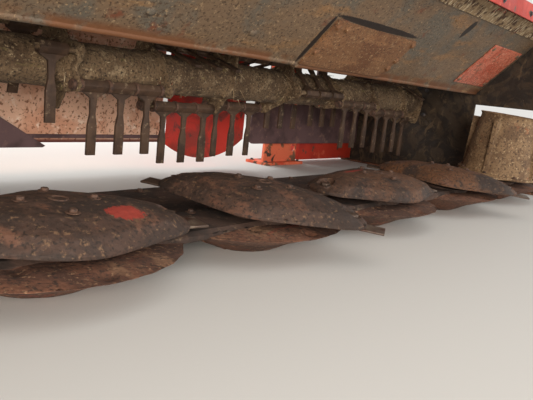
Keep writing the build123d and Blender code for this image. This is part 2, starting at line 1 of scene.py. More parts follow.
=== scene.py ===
import json
import random
from math import atan2, cos, pi, radians, sin

import bmesh
import bpy
from mathutils import Matrix, Vector, noise


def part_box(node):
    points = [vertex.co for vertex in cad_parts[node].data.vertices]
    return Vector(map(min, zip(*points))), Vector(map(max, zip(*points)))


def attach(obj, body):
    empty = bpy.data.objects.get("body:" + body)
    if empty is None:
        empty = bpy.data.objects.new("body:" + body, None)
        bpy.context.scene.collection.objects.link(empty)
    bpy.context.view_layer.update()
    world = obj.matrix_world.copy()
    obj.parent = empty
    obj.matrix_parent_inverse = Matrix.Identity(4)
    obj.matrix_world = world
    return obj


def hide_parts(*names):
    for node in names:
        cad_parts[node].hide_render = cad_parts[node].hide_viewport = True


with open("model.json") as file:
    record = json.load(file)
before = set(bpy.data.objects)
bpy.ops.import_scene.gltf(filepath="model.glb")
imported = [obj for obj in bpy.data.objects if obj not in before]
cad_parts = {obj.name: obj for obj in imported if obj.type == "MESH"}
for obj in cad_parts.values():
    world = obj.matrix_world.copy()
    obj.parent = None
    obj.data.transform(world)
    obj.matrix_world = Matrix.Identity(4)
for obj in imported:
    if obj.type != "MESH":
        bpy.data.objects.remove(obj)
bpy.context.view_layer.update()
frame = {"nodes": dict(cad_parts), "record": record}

HEAD = "head_frame"
ROTOR = "rotor"
FLAP = "flap"
joints = {joint["name"]: joint for joint in frame["record"]["behaviour"]["joints"]}
disc_pitch = 0.4
disc_count = 6
disc_xs = [(i - 2.5) * disc_pitch for i in range(disc_count)]
drum_tops = {0: 0.340, 5: 0.273}


# Finishes
def shade(red, green, blue):
    """A colour as it looks on screen, 0 to 255, turned into the shader's linear value."""
    linear = []
    for value in (red, green, blue):
        c = value / 255
        linear.append(c / 12.92 if c <= 0.04045 else ((c + 0.055) / 1.055) ** 2.4)
    return (*linear, 1.0)


class Finish:
    """One material built up in layers, each laid over the last where its mask is 1."""

    def __init__(self, name, base, roughness=0.8, metallic=0.0):
        self.material = bpy.data.materials.new(name)
        self.material.use_nodes = True
        self.tree = self.material.node_tree
        self.shader = self.tree.nodes["Principled BSDF"]
        self.shader.inputs["Roughness"].default_value = roughness
        self.shader.inputs["Metallic"].default_value = metallic
        self.place = self.tree.nodes.new("ShaderNodeTexCoord").outputs["Object"]
        self.paint = base
        self.relief = None

    def stretched(self, along):
        """Object coordinates scaled along X, Y and Z, so that a pattern is drawn out."""
        mapping = self.tree.nodes.new("ShaderNodeMapping")
        mapping.inputs["Scale"].default_value = along
        self.tree.links.new(self.place, mapping.inputs["Vector"])
        return mapping.outputs["Vector"]

    def grain(self, size, detail=5.0, along=None, distortion=0.0):
        """Soft noise whose blotches are about size metres across."""
        node = self.tree.nodes.new("ShaderNodeTexNoise")
        node.inputs["Scale"].default_value = 1 / size
        node.inputs["Detail"].default_value = detail
        node.inputs["Roughness"].default_value = 0.62
        node.inputs["Distortion"].default_value = distortion
        self.tree.links.new(self.stretched(along) if along else self.place, node.inputs["Vector"])
        return node.outputs["Fac"]

    def cells(self, size):
        """Distance to the nearest of many scattered points, about size metres apart."""
        node = self.tree.nodes.new("ShaderNodeTexVoronoi")
        node.inputs["Scale"].default_value = 1 / size
        self.tree.links.new(self.place, node.inputs["Vector"])
        return node.outputs["Distance"]

    def between(self, factor, low, high):
        """0 below low and 1 above high; low above high turns it round."""
        node = self.tree.nodes.new("ShaderNodeMapRange")
        node.interpolation_type = "SMOOTHSTEP"
        node.inputs["From Min"].default_value = low
        node.inputs["From Max"].default_value = high
        self.tree.links.new(factor, node.inputs["Value"])
        return node.outputs["Result"]

    def times(self, a, b):
        """Two masks multiplied."""
        node = self.tree.nodes.new("ShaderNodeMath")
        node.operation = "MULTIPLY"
        self.tree.links.new(a, node.inputs[0])
        self.tree.links.new(b, node.inputs[1])
        return node.outputs[0]

    def height(self, axis):
        """How far along one of the part's axes a point is, in metres."""
        node = self.tree.nodes.new("ShaderNodeSeparateXYZ")
        self.tree.links.new(self.place, node.inputs[0])
        return node.outputs[axis]

    def near(self, point, reach, ragged=0.35):
        """1 within reach of a point, each a length along X, Y and Z, with a ragged edge."""
        offset = self.tree.nodes.new("ShaderNodeMapping")
        offset.vector_type = "POINT"
        offset.inputs["Scale"].default_value = [1 / r for r in reach]
        offset.inputs["Location"].default_value = [-p / r for p, r in zip(point, reach)]
        self.tree.links.new(self.place, offset.inputs["Vector"])
        length = self.tree.nodes.new("ShaderNodeVectorMath")
        length.operation = "LENGTH"
        self.tree.links.new(offset.outputs["Vector"], length.inputs[0])
        rough = self.tree.nodes.new("ShaderNodeMath")
        rough.operation = "MULTIPLY_ADD"
        self.tree.links.new(self.grain(min(reach) * 0.5, detail=8), rough.inputs[0])
        rough.inputs[1].default_value = 4 * ragged
        self.tree.links.new(length.outputs["Value"], rough.inputs[2])
        return self.between(rough.outputs[0], 1 + 2 * ragged, 0.85 + 2 * ragged)

    def lay(self, colour, mask):
        """Puts a colour over the layers so far, where the mask is 1."""
        node = self.tree.nodes.new("ShaderNodeMix")
        node.data_type = "RGBA"
        self.tree.links.new(mask, node.inputs["Factor"])
        for socket, value in (("A", self.paint), ("B", colour)):
            target = [i for i in node.inputs if i.name == socket and i.type == "RGBA"][0]
            if isinstance(value, tuple):
                target.default_value = value
            else:
                self.tree.links.new(value, target)
        self.paint = [o for o in node.outputs if o.type == "RGBA"][0]

    def raise_by(self, factor, depth):
        """Adds relief of about depth metres."""
        node = self.tree.nodes.new("ShaderNodeBump")
        node.inputs["Strength"].default_value = 1.0
        node.inputs["Distance"].default_value = depth
        self.tree.links.new(factor, node.inputs["Height"])
        if self.relief is not None:
            self.tree.links.new(self.relief, node.inputs["Normal"])
        self.relief = node.outputs["Normal"]

    def dull(self, mask, shiny, rough):
        """Roughness goes from shiny where the mask is 0 to rough where it is 1."""
        node = self.tree.nodes.new("ShaderNodeMapRange")
        node.inputs["To Min"].default_value = shiny
        node.inputs["To Max"].default_value = rough
        self.tree.links.new(mask, node.inputs["Value"])
        self.tree.links.new(node.outputs["Result"], self.shader.inputs["Roughness"])

    def done(self):
        """Joins the layers and the relief to the shader."""
        self.tree.links.new(self.paint, self.shader.inputs["Base Color"])
        if self.relief is not None:
            self.tree.links.new(self.relief, self.shader.inputs["Normal"])
        return self.material


def speckle(f, dark, light, size):
    """Fine rust grain over everything laid so far."""
    f.lay(dark, f.between(f.grain(size, detail=9), 0.50, 0.36))
    f.lay(light, f.between(f.grain(size * 1.3, detail=9), 0.56, 0.68))


def caked_mud_finish():
    """Dried mud and chopped grass baked on to the rotor."""
    f = Finish("caked mud", shade(112, 90, 66), roughness=0.95)
    f.lay(shade(84, 64, 45), f.between(f.grain(0.09, distortion=0.4), 0.45, 0.62))
    f.lay(shade(146, 124, 96), f.between(f.grain(0.03), 0.55, 0.70))
    f.lay(shade(118, 104, 66), f.between(f.grain(0.02, along=(0.25, 1, 1)), 0.60, 0.72))
    speckle(f, shade(54, 40, 28), shade(164, 142, 110), 0.005)
    f.raise_by(f.grain(0.018, detail=8), 0.006)
    f.raise_by(f.cells(0.006), 0.0015)
    return f.done()


def tine_steel_finish():
    """Dark worn spring steel with patches of dried dirt."""
    f = Finish("worn tine steel", shade(84, 62, 46), roughness=0.62, metallic=0.25)
    f.lay(shade(66, 48, 36), f.between(f.grain(0.05), 0.44, 0.60))
    f.lay(shade(128, 108, 86), f.between(f.grain(0.016), 0.58, 0.70))
    f.lay(shade(50, 36, 28), f.between(f.grain(0.008), 0.38, 0.30))
    f.dull(f.grain(0.02), 0.45, 0.85)
    f.raise_by(f.grain(0.007, detail=6), 0.0012)
    return f.done()


def dark_steel_finish():
    """Bare dark steel of shafts, collars and bearings."""
    f = Finish("dark steel", shade(72, 70, 72), roughness=0.55, metallic=0.5)
    f.lay(shade(92, 66, 50), f.between(f.grain(0.03), 0.50, 0.62))
    f.lay(shade(46, 42, 42), f.between(f.grain(0.012), 0.40, 0.30))
    f.dull(f.grain(0.02), 0.40, 0.80)
    f.raise_by(f.grain(0.006), 0.0008)
    return f.done()


red_marks = [
    # disc, place from its middle along X and Y, reach along X, Y and Z
    (1, 0.064, -0.055, (0.030, 0.016, 0.05)),
    (1, 0.104, 0.017, (0.032, 0.004, 0.05)),
    (2, 0.073, -0.034, (0.005, 0.036, 0.05)),
    (3, -0.050, 0.030, (0.040, 0.008, 0.05)),
]


def rusty_disc_finish():
    """Discs rusted dark reddish brown, with the last of their red paint and dried splashes."""
    f = Finish("rusty disc", shade(70, 50, 40), roughness=0.70, metallic=0.1)
    f.lay(shade(96, 62, 38), f.between(f.height("X"), -0.10, 0.35))
    f.lay(shade(52, 38, 31), f.between(f.grain(0.10, distortion=0.6), 0.44, 0.60))
    f.lay(shade(98, 66, 50), f.between(f.grain(0.05, along=(1, 0.5, 1)), 0.54, 0.66))
    speckle(f, shade(42, 30, 23), shade(108, 82, 60), 0.006)
    for i, x, y, reach in red_marks:
        f.lay(shade(142, 50, 38), f.near((disc_xs[i] + x, y, 0.11), reach))
    f.dull(f.grain(0.05), 0.50, 0.90)
    f.raise_by(f.grain(0.02, detail=8), 0.0022)
    f.raise_by(f.cells(0.009), 0.0007)
    return f.done()


def drum_rust_finish():
    """Drums rusted a lighter orange brown, with patches of pale dust."""
    f = Finish("rusty drum", shade(134, 106, 76), roughness=0.75, metallic=0.1)
    f.lay(shade(104, 78, 54), f.between(f.grain(0.07, distortion=0.6), 0.45, 0.60))
    f.lay(shade(158, 132, 100), f.between(f.grain(0.035, along=(1, 1, 0.4)), 0.56, 0.68))
    f.lay(shade(138, 86, 54), f.between(f.grain(0.05), 0.60, 0.70))
    speckle(f, shade(74, 54, 38), shade(172, 146, 112), 0.006)
    f.raise_by(f.grain(0.015, detail=8), 0.0016)
    return f.done()


def bolt_rust_finish():
    """Bolt heads and collars gone the brown of what they sit on."""
    f = Finish("rusty bolts", shade(92, 66, 52), roughness=0.75, metallic=0.15)
    f.lay(shade(60, 44, 36), f.between(f.grain(0.008), 0.46, 0.60))
    f.lay(shade(122, 98, 78), f.between(f.grain(0.005), 0.60, 0.70))
    f.raise_by(f.grain(0.004), 0.0006)
    return f.done()


def blade_steel_finish():
    """Blades worn bright along their edges."""
    f = Finish("blade steel", shade(84, 68, 58), roughness=0.5, metallic=0.4)
    f.lay(shade(120, 104, 90), f.between(f.grain(0.02, along=(0.4, 0.4, 1)), 0.54, 0.66))
    f.lay(shade(70, 42, 32), f.between(f.grain(0.03), 0.46, 0.34))
    f.raise_by(f.grain(0.006), 0.0008)
    return f.done()


def rust_skid_finish():
    """Skid shoes scoured to an even reddish rust with pale dust."""
    f = Finish("rusty skid", shade(112, 72, 52), roughness=0.85)
    f.lay(shade(78, 50, 37), f.between(f.grain(0.10, distortion=0.4), 0.44, 0.60))
    f.lay(shade(126, 92, 68), f.between(f.grain(0.05, along=(1, 0.3, 1)), 0.54, 0.68))
    f.lay(shade(134, 66, 48), f.between(f.grain(0.04, along=(0.3, 1, 1)), 0.60, 0.70))
    speckle(f, shade(56, 38, 29), shade(148, 112, 84), 0.006)
    f.raise_by(f.grain(0.016, detail=8), 0.0020)
    f.raise_by(f.cells(0.007), 0.0006)
    return f.done()


def bar_casting_finish():
    """The bar's dark casting, crusted with dirt."""
    f = Finish("bar casting", shade(72, 52, 42), roughness=0.85, metallic=0.1)
    f.lay(shade(46, 34, 28), f.between(f.grain(0.07), 0.45, 0.60))
    f.lay(shade(104, 84, 66), f.between(f.grain(0.02, detail=8), 0.57, 0.68))
    f.raise_by(f.grain(0.015, detail=8), 0.0025)
    return f.done()


hood_shadows = [
    # place and reach along X, Y and Z of the painted shadow along the patch's edges and the painted
    # shade in the plate's dent
    ((0.118, 0.152, 0.396), (0.010, 0.080, 0.080)),
    ((0.310, 0.101, 0.448), (0.210, 0.010, 0.010)),
    ((0.707, 0.050, 0.500), (0.016, 0.036, 0.036)),
]


def hood_rust_finish():
    """Hood plate rubbed to brown-grey rust, orange at its lip, with painted shadow along the patch's
    edges and painted shade in the plate's dent.
    """
    f = Finish("rusty hood", shade(116, 94, 72), roughness=0.70, metallic=0.05)
    f.lay(shade(98, 90, 78), f.between(f.grain(0.16, distortion=0.6), 0.44, 0.60))
    f.lay(shade(138, 104, 70), f.between(f.grain(0.08, along=(0.5, 1.5, 1.5)), 0.52, 0.66))
    f.lay(shade(112, 66, 44), f.between(f.grain(0.07), 0.60, 0.72))
    speckle(f, shade(74, 56, 40), shade(158, 132, 100), 0.0055)
    lip = f.times(f.between(f.height("Z"), 0.360, 0.346), f.between(f.grain(0.06), 0.36, 0.52))
    f.lay(shade(112, 72, 44), lip)
    # painted shadow along the patch's edges and painted shade in the plate's dent, laid in near
    # black
    for place, reach in hood_shadows:
        f.lay(shade(34, 24, 18), f.near(place, reach, ragged=0.12))
    f.dull(f.grain(0.07), 0.50, 0.85)
    f.raise_by(f.grain(0.03, detail=8), 0.0016)
    f.raise_by(f.grain(0.005), 0.0006)
    return f.done()


def patch_rust_finish():
    """The bolted patch, redder rust than the plate under it."""
    f = Finish("rusty patch", shade(128, 90, 60), roughness=0.7, metallic=0.05)
    f.lay(shade(110, 72, 46), f.between(f.grain(0.10, distortion=0.5), 0.45, 0.60))
    f.lay(shade(142, 100, 66), f.between(f.grain(0.05, along=(0.5, 1.5, 1.5)), 0.54, 0.68))
    speckle(f, shade(76, 52, 36), shade(170, 140, 104), 0.0055)
    f.raise_by(f.grain(0.02, detail=8), 0.0014)
    return f.done()


def salmon_paint_finish():
    """Worn red paint rubbed through to salmon, with rust round it."""
    f = Finish("salmon paint", shade(198, 110, 84), roughness=0.6)
    f.lay(shade(178, 78, 52), f.between(f.grain(0.05, distortion=0.5), 0.48, 0.60))
    f.lay(shade(112, 74, 52), f.between(f.grain(0.08), 0.58, 0.66))
    speckle(f, shade(112, 66, 46), shade(216, 164, 138), 0.006)
    f.raise_by(f.grain(0.01, detail=8), 0.0010)
    return f.done()


def straw_strip_finish():
    """Ridged edging the colour of dry grass, with red paint showing in places."""
    f = Finish("straw edging", shade(150, 126, 94), roughness=0.9)
    f.lay(shade(80, 56, 38), f.between(f.grain(0.03), 0.46, 0.58))
    f.lay(shade(200, 182, 150), f.between(f.grain(0.008, along=(1, 0.3, 0.3)), 0.52, 0.62))
    f.lay(shade(168, 58, 34), f.between(f.grain(0.06), 0.62, 0.68))
    f.raise_by(f.grain(0.006, detail=8), 0.0020)
    return f.done()


def red_paint_finish():
    """Bright red paint, chipped to rust and greyed with dust."""
    f = Finish("worn red paint", shade(186, 48, 26), roughness=0.5)
    f.lay(shade(160, 36, 20), f.between(f.grain(0.15), 0.45, 0.60))
    f.lay(shade(206, 92, 62), f.between(f.grain(0.05), 0.58, 0.72))
    f.lay(shade(96, 62, 46), f.between(f.grain(0.035, detail=9), 0.60, 0.65))
    f.lay(shade(128, 100, 80), f.between(f.grain(0.20, detail=8), 0.60, 0.72))
    f.dull(f.grain(0.06), 0.40, 0.80)
    f.raise_by(f.grain(0.012, detail=8), 0.0008)
    return f.done()


def faded_sheet_finish():
    """Rear sheet faded to a dusty pink, speckled and scratched."""
    f = Finish("faded sheet", shade(226, 180, 152), roughness=0.75)
    f.lay(shade(208, 152, 122), f.between(f.grain(0.12, distortion=0.4), 0.45, 0.60))
    f.lay(shade(240, 212, 190), f.between(f.grain(0.03), 0.55, 0.68))
    f.lay(shade(140, 92, 66), f.between(f.grain(0.008, detail=9), 0.54, 0.62))
    f.lay(shade(94, 40, 30), f.between(f.height("Z"), 0.1, 0.088))
    f.raise_by(f.grain(0.01, detail=8), 0.0008)
    return f.done()


def purple_board_finish():
    """Swath boards gone purple-brown."""
    f = Finish("purple-brown board", shade(98, 72, 72), roughness=0.7)
    f.lay(shade(74, 52, 52), f.between(f.grain(0.12), 0.44, 0.60))
    f.lay(shade(122, 92, 84), f.between(f.grain(0.04), 0.56, 0.68))
    f.raise_by(f.grain(0.012, detail=8), 0.0010)
    return f.done()


def wall_mud_finish():
    """Dark swirled mud and trampled crop caked on the inside of the walls."""
    f = Finish("wall mud", shade(58, 44, 30), roughness=0.9)
    f.lay(shade(36, 26, 18), f.between(f.grain(0.09, distortion=1.6), 0.46, 0.58))
    f.lay(shade(84, 66, 46), f.between(f.grain(0.05, distortion=1.2, along=(1, 1, 0.6)), 0.56, 0.68))
    f.lay(shade(110, 90, 66), f.between(f.grain(0.010, detail=8), 0.64, 0.74))
    f.lay(shade(120, 60, 44), f.between(f.grain(0.30), 0.62, 0.72))
    f.dull(f.grain(0.05), 0.55, 0.95)
    f.raise_by(f.grain(0.03, detail=8, distortion=1.4), 0.0040)
    f.raise_by(f.grain(0.008, detail=6), 0.0012)
    return f.done()


def leg_paint_finish():
    """Sun-bleached orange-pink paint, eaten through to brown rust in big patches."""
    f = Finish("bleached leg paint", shade(228, 112, 76), roughness=0.65)
    f.lay(shade(206, 76, 44), f.between(f.grain(0.10), 0.48, 0.62))
    f.lay(shade(120, 82, 58), f.between(f.grain(0.06, detail=9, distortion=0.6), 0.52, 0.57))
    f.lay(shade(78, 54, 40), f.between(f.grain(0.045, detail=9, distortion=0.6), 0.60, 0.64))
    f.dull(f.grain(0.05), 0.50, 0.85)
    f.raise_by(f.grain(0.03, detail=8), 0.0012)
    return f.done()


def panel_paint_finish():
    """Bright red paint with a veil of grime and dark scuffs."""
    f = Finish("grimy red panel", shade(206, 44, 24), roughness=0.45)
    f.lay(shade(158, 44, 28), f.between(f.grain(0.14, distortion=0.8), 0.46, 0.60))
    f.lay(shade(92, 48, 38), f.between(f.grain(0.07, detail=8, distortion=0.8), 0.55, 0.66))
    f.lay(shade(206, 78, 52), f.between(f.grain(0.012, detail=8), 0.64, 0.72))
    f.dull(f.grain(0.06), 0.35, 0.75)
    f.raise_by(f.grain(0.02, detail=6), 0.0006)
    return f.done()


finishes = {
    "wall_mud": wall_mud_finish(),
    "leg_paint": leg_paint_finish(),
    "panel_paint": panel_paint_finish(),
    "caked_mud": caked_mud_finish(),
    "tine_steel": tine_steel_finish(),
    "dark_steel": dark_steel_finish(),
    "rusty_disc": rusty_disc_finish(),
    "drum_rust": drum_rust_finish(),
    "bolt_rust": bolt_rust_finish(),
    "blade_steel": blade_steel_finish(),
    "rust_skid": rust_skid_finish(),
    "bar_casting": bar_casting_finish(),
    "hood_rust": hood_rust_finish(),
    "patch_rust": patch_rust_finish(),
    "salmon_paint": salmon_paint_finish(),
    "straw_strip": straw_strip_finish(),
    "red_paint": red_paint_finish(),
    "faded_sheet": faded_sheet_finish(),
    "purple_brown": purple_board_finish(),
}

slot_of = {piece["node"]: piece["material_slot"] for piece in frame["record"]["subparts"]}


# Shaping helpers
def finish_piece(name, bm, body, slot, look=None, smooth=40, stands_for=()):
    """Makes a bmesh a named piece riding on a body, in its slot's finish or a look of its own."""
    bmesh.ops.recalc_face_normals(bm, faces=bm.faces)
    mesh = bpy.data.meshes.new(name)
    bm.to_mesh(mesh)
    bm.free()
    mesh.materials.append(finishes[look or slot])
    mesh.shade_smooth()
    mesh.set_sharp_from_angle(angle=radians(smooth))
    piece = bpy.data.objects.new(name, mesh)
    bpy.context.scene.collection.objects.link(piece)
    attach(piece, body)
    if stands_for:
        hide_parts(*stands_for)


def copy_of(node):
    """A CAD node's shape with its loose triangles joined up."""
    bm = bmesh.new()
    bm.from_mesh(frame["nodes"][node].data)
    bmesh.ops.remove_doubles(bm, verts=bm.verts, dist=0.00002)
    bmesh.ops.dissolve_limit(bm, angle_limit=radians(0.5), verts=bm.verts, edges=bm.edges)
    return bm


def soften(bm, width, segments=2, sharper_than=30):
    """Rounds every edge that turns by more than the given angle."""
    limit = radians(sharper_than)
    edges = [e for e in bm.edges if len(e.link_faces) == 2 and e.calc_face_angle(0) > limit]
    bmesh.ops.bevel(
        bm,
        geom=edges,
        offset=width,
        offset_type="OFFSET",
        segments=segments,
        profile=0.5,
        affect="EDGES",
        material=-1,
        clamp_overlap=True,
    )


def cut_fine(bm, longest):
    """Splits edges until none is longer than that, so that the surface can be shaped."""
    bmesh.ops.triangulate(bm, faces=bm.faces)
    for _ in range(9):
        edges = [e for e in bm.edges if e.calc_length() > longest]
        if not edges:
            break
        bmesh.ops.subdivide_edges(bm, edges=edges, cuts=1, use_grid_fill=True)
        bmesh.ops.triangulate(bm, faces=bm.faces)


def lumps(point, size, seed=0.0):
    """Uneven height from about -1 to 1 at a point, with features about size metres across."""
    p = point / size + Vector((seed, seed * 1.7, -seed))
    return 0.6 * noise.noise(p) + 0.3 * noise.noise(p * 2.3) + 0.15 * noise.noise(p * 5.1)


def warp(bm, depth, size, direction, seed=0.0):
    """Bends a plate in and out of its plane, both faces together."""
    way = Vector(direction).normalized()
    for v in bm.verts:
        flat = v.co - way * v.co.dot(way)
        v.co += way * depth * lumps(flat, size, seed)


def crust(bm, depth, size, seed=0.0):
    """Roughens a surface along its normals."""
    bm.normal_update()
    moves = [(v, v.normal * (depth * lumps(v.co, size, seed))) for v in bm.verts]
    for v, move in moves:
        v.co += move


def worn_plate(node, edge, longest, depth, size, direction, seed):
    """A CAD plate with round edges, bent a little in and out of flat."""
    bm = copy_of(node)
    soften(bm, edge)
    cut_fine(bm, longest)
    warp(bm, depth, size, direction, seed)
    return bm


def press(bm, centre, reach, push):
    """Pushes in an oval dent: reach is its half size on each axis, push is its middle's move."""
    for v in bm.verts:
        off = v.co - Vector(centre)
        share = sum((off[k] / reach[k]) ** 2 for k in range(3))
        if share < 1:
            v.co += Vector(push) * (1 - share) ** 1.5


def remeshed(bm, voxel):
    """The same shape rebuilt in even small faces."""
    mesh = bpy.data.meshes.new("rough shape")
    bm.to_mesh(mesh)
    bm.free()
    shape = bpy.data.objects.new("rough shape", mesh)
    bpy.context.scene.collection.objects.link(shape)
    modifier = shape.modifiers.new("voxels", "REMESH")
    modifier.mode = "VOXEL"
    modifier.voxel_size = voxel
    result = bmesh.new()
    result.from_mesh(shape.evaluated_get(bpy.context.evaluated_depsgraph_get()).to_mesh())
    bpy.data.objects.remove(shape)
    bpy.data.meshes.remove(mesh)
    return result


def facing(place, way):
    """Matrix that stands something on a place with its top towards way."""
    turn = Vector(way).to_track_quat("Z", "Y").to_matrix().to_4x4()
    return Matrix.Translation(Vector(place)) @ turn


def on_circle(at, radius, angle, high):
    """Matrix of a bolt on a circle round the given matrix's Z axis."""
    return at @ Matrix.Translation((radius * cos(angle), radius * sin(angle), high))


def add_can(bm, at, radius, low, high, sides=20, top_radius=None):
    """Adds a closed can or cone, standing on a matrix's XY plane from low to high."""
    bmesh.ops.create_cone(
        bm,
        cap_ends=True,
        segments=sides,
        radius1=radius,
        radius2=radius if top_radius is None else top_radius,
        depth=high - low,
        matrix=at @ Matrix.Translation((0, 0, (low + high) / 2)),
    )


def add_bolt(bm, at, across):
    """Adds a hex bolt head with its washer."""
    add_can(bm, at, across * 0.95, 0, across * 0.12, sides=16)
    add_can(bm, at, across * 0.58, across * 0.1, across * 0.55, sides=6, top_radius=across * 0.52)


def add_dome(bm, at, radius, height):
    """Adds the low round head of a coach bolt or rivet."""
    squash = at @ Matrix.Diagonal((1, 1, height / radius, 1))
    bmesh.ops.create_uvsphere(bm, u_segments=14, v_segments=8, radius=radius, matrix=squash)


def finish_bolts(name, bm, body=HEAD, look=None):
    """Takes the sharp edges off bolt heads and makes them a named piece."""
    soften(bm, 0.0005, segments=1)
    finish_piece(name, bm, body, "dark_steel", look)


def add_ring(bm, at, inner, outer, low, high, sides=20):
    """Adds a washer or collar: a square section spun round the matrix's Z axis."""
    corners = [(inner, low), (outer, low), (outer, high), (inner, high)]
    verts = [bm.verts.new(at @ Vector((r, 0, h))) for r, h in corners]
    edges = [bm.edges.new((verts[k], verts[(k + 1) % 4])) for k in range(4)]
    bmesh.ops.spin(
        bm,
        geom=verts + edges,
        cent=at.translation,
        axis=at.to_3x3() @ Vector((0, 0, 1)),
        angle=2 * pi,
        steps=sides,
        use_merge=True,
    )


def low_corner(node):
    """A CAD node's lowest corner at rest."""
    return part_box(node)[0]


def high_corner(node):
    """A CAD node's highest corner at rest."""
    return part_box(node)[1]


# Conditioner rotor
rotor_place = Vector(joints["rotor_spin"]["pos_m"])
tube_radius = 0.047
section_length = 0.234
ear_xs = [-1.226] + [-1.032 + section_length * k for k in range(10)] + [1.226]
pin_radius = 0.078
tine_pitch = 0.068
rod_rows = [
    # section, angle from straight down to the front, tines, first tine from the section's left ear
    (1, 61, 3, 0.040),
    (2, -12, 3, 0.060),
    (4, 61, 3, 0.040),
    (5, -12, 3, 0.064),
    (6, -31, 3, 0.036),
    (7, -97, 3, 0.064),
    (8, 66, 3, 0.034),
    (9, 48, 3, 0.034),
]


def rod_point(x, angle):
    """Point on a rod's middle line, its angle taken from straight down towards the front."""
    a = radians(angle)
    return rotor_place + Vector((x, -pin_radius * sin(a), -pin_radius * cos(a)))


def add_mud(bm, rng, place, radius):
    """Adds one squashed lump of mud."""
    turn = Matrix.Rotation(rng.uniform(0, pi), 4, "X")
    turn = turn @ Matrix.Rotation(rng.uniform(0, pi), 4, "Z")
    sizes = [rng.uniform(low, high) for low, high in ((0.8, 1.6), (0.7, 1.1), (0.5, 0.9))]
    shape = Matrix.Diagonal((*sizes, 1))
    bmesh.ops.create_icosphere(
        bm, subdivisions=2, radius=radius, matrix=Matrix.Translation(place) @ turn @ shape
    )


def make_rotor_core():
    """Rotor tube, ears and rods under one crust of mud, thicker round the ears."""
    rng = random.Random(5)
    bm = copy_of("rotor_core")
    for x in ear_xs[1:-1]:
        for k in range(9):
            a = rng.uniform(0, 2 * pi)
            out = tube_radius - 0.004
            spot = rotor_place + Vector((x + rng.uniform(-0.02, 0.02), out * cos(a), out * sin(a)))
            add_mud(bm, rng, spot, rng.uniform(0.010, 0.018))
    for k in range(60):
        a = rng.uniform(0, 2 * pi)
        out = tube_radius - 0.008
        spot = rotor_place + Vector((rng.uniform(-1.2, 1.2), out * cos(a), out * sin(a)))
        add_mud(bm, rng, spot, rng.uniform(0.008, 0.015))
    bm = remeshed(bm, 0.0042)
    crust(bm, 0.0035, 0.050, seed=3)
    crust(bm, 0.0022, 0.014, seed=8)
    finish_piece("muddy_rotor", bm, ROTOR, "caked_mud", smooth=80, stands_for=("rotor_core",))


def make_tines():
    """Tines with worn round edges, each bent a little its own way as it hangs."""
    hang_top, hang_length, bend = 0.05, 0.12, 0.0035
    for node in ("tines_down", "tines_front", "tines_back"):
        bm = copy_of(node)
        soften(bm, 0.0012)
        for v in bm.verts:
            drop = max(0.0, rotor_place.z - hang_top - v.co.z)
            own = noise.noise(Vector((round(v.co.x / tine_pitch) * 3.1, 0.5, 0.0)))
            v.co.x += own * bend * min(1.0, drop / hang_length)
        finish_piece(f"{node}_worn", bm, ROTOR, "tine_steel", stands_for=(node,))


def make_rod_collars():
    """Spacer rings on the rods between the tines, and pin heads outside the ears."""
    bm = bmesh.new()
    for section, angle, count, first in rod_rows:
        for k in range(count + 1):
            x = ear_xs[section] + first + tine_pitch * (k - 0.5)
            at = facing(rod_point(x, angle), (1, 0, 0))
            add_ring(bm, at, 0.0072, 0.0145, -0.0040, 0.0040)
    for section, angle, count, first in rod_rows:
        for x, way in ((ear_xs[section] - 0.004, -1), (ear_xs[section + 1] + 0.004, 1)):
            add_can(bm, facing(rod_point(x, angle), (way, 0, 0)), 0.011, -0.001, 0.008, sides=14)
    soften(bm, 0.0008, segments=1)
    finish_piece("rod_collars", bm, ROTOR, "dark_steel", "bolt_rust")


def add_strand(bm, rng, place, way, length):
    """Adds one thin dry stalk."""
    lean = Vector(way) + Vector([rng.uniform(-0.5, 0.5) for _ in range(3)])
    add_can(bm, facing(place, lean), 0.0011, 0, length, sides=4, top_radius=0.0004)


def make_rotor_straw():
    """Dry stalks caught on the rotor, most of them at the ears."""
    rng = random.Random(11)
    bm = bmesh.new()
    for x in ear_xs[1:-1]:
        for k in range(22):
            a = rng.uniform(0, 2 * pi)
            out = tube_radius + rng.uniform(-0.002, 0.008)
            round_way = Vector((rng.uniform(-0.6, 0.6), -sin(a), cos(a)))
            spot = rotor_place + Vector((x + rng.uniform(-0.03, 0.03), out * cos(a), out * sin(a)))
            add_strand(bm, rng, spot, round_way, rng.uniform(0.015, 0.045))
    for k in range(260):
        a = rng.uniform(0, 2 * pi)
        out = tube_radius + 0.0015
        along = Vector((rng.uniform(-1, 1), -0.4 * sin(a), 0.4 * cos(a)))
        spot = rotor_place + Vector((rng.uniform(-1.2, 1.2), out * cos(a), out * sin(a)))
        add_strand(bm, rng, spot, along, rng.uniform(0.008, 0.022))
    finish_piece("rotor_straw", bm, ROTOR, "straw_strip")


# Cutting discs
disc_turns = (-63, -10)


def disc_frame(i):
    """Matrix at a disc's centre, its Z up the disc's axis and its X along the disc."""
    joint = joints[f"disc_{i}_spin"]
    axis = Vector(joint["axis"])
    tilt = Matrix.Rotation(atan2(-axis.y, axis.z), 4, "X")
    turn = Matrix.Rotation(radians(disc_turns[i % 2]), 4, "Z")
    return Matrix.Translation(Vector(joint["pos_m"])) @ tilt @ turn


def make_disc(i, look):
    """One disc, scoured and pitted."""
    node = f"disc_{i}"
    bm = copy_of(node)
    soften(bm, 0.0016, segments=2, sharper_than=40)
    cut_fine(bm, 0.012)
    crust(bm, 0.0010, 0.030, seed=i * 5 + 1)
    crust(bm, 0.0005, 0.009, seed=i * 5 + 2)
    finish_piece(f"{node}_worn", bm, node, "rusty_disc", look, stands_for=(node,))


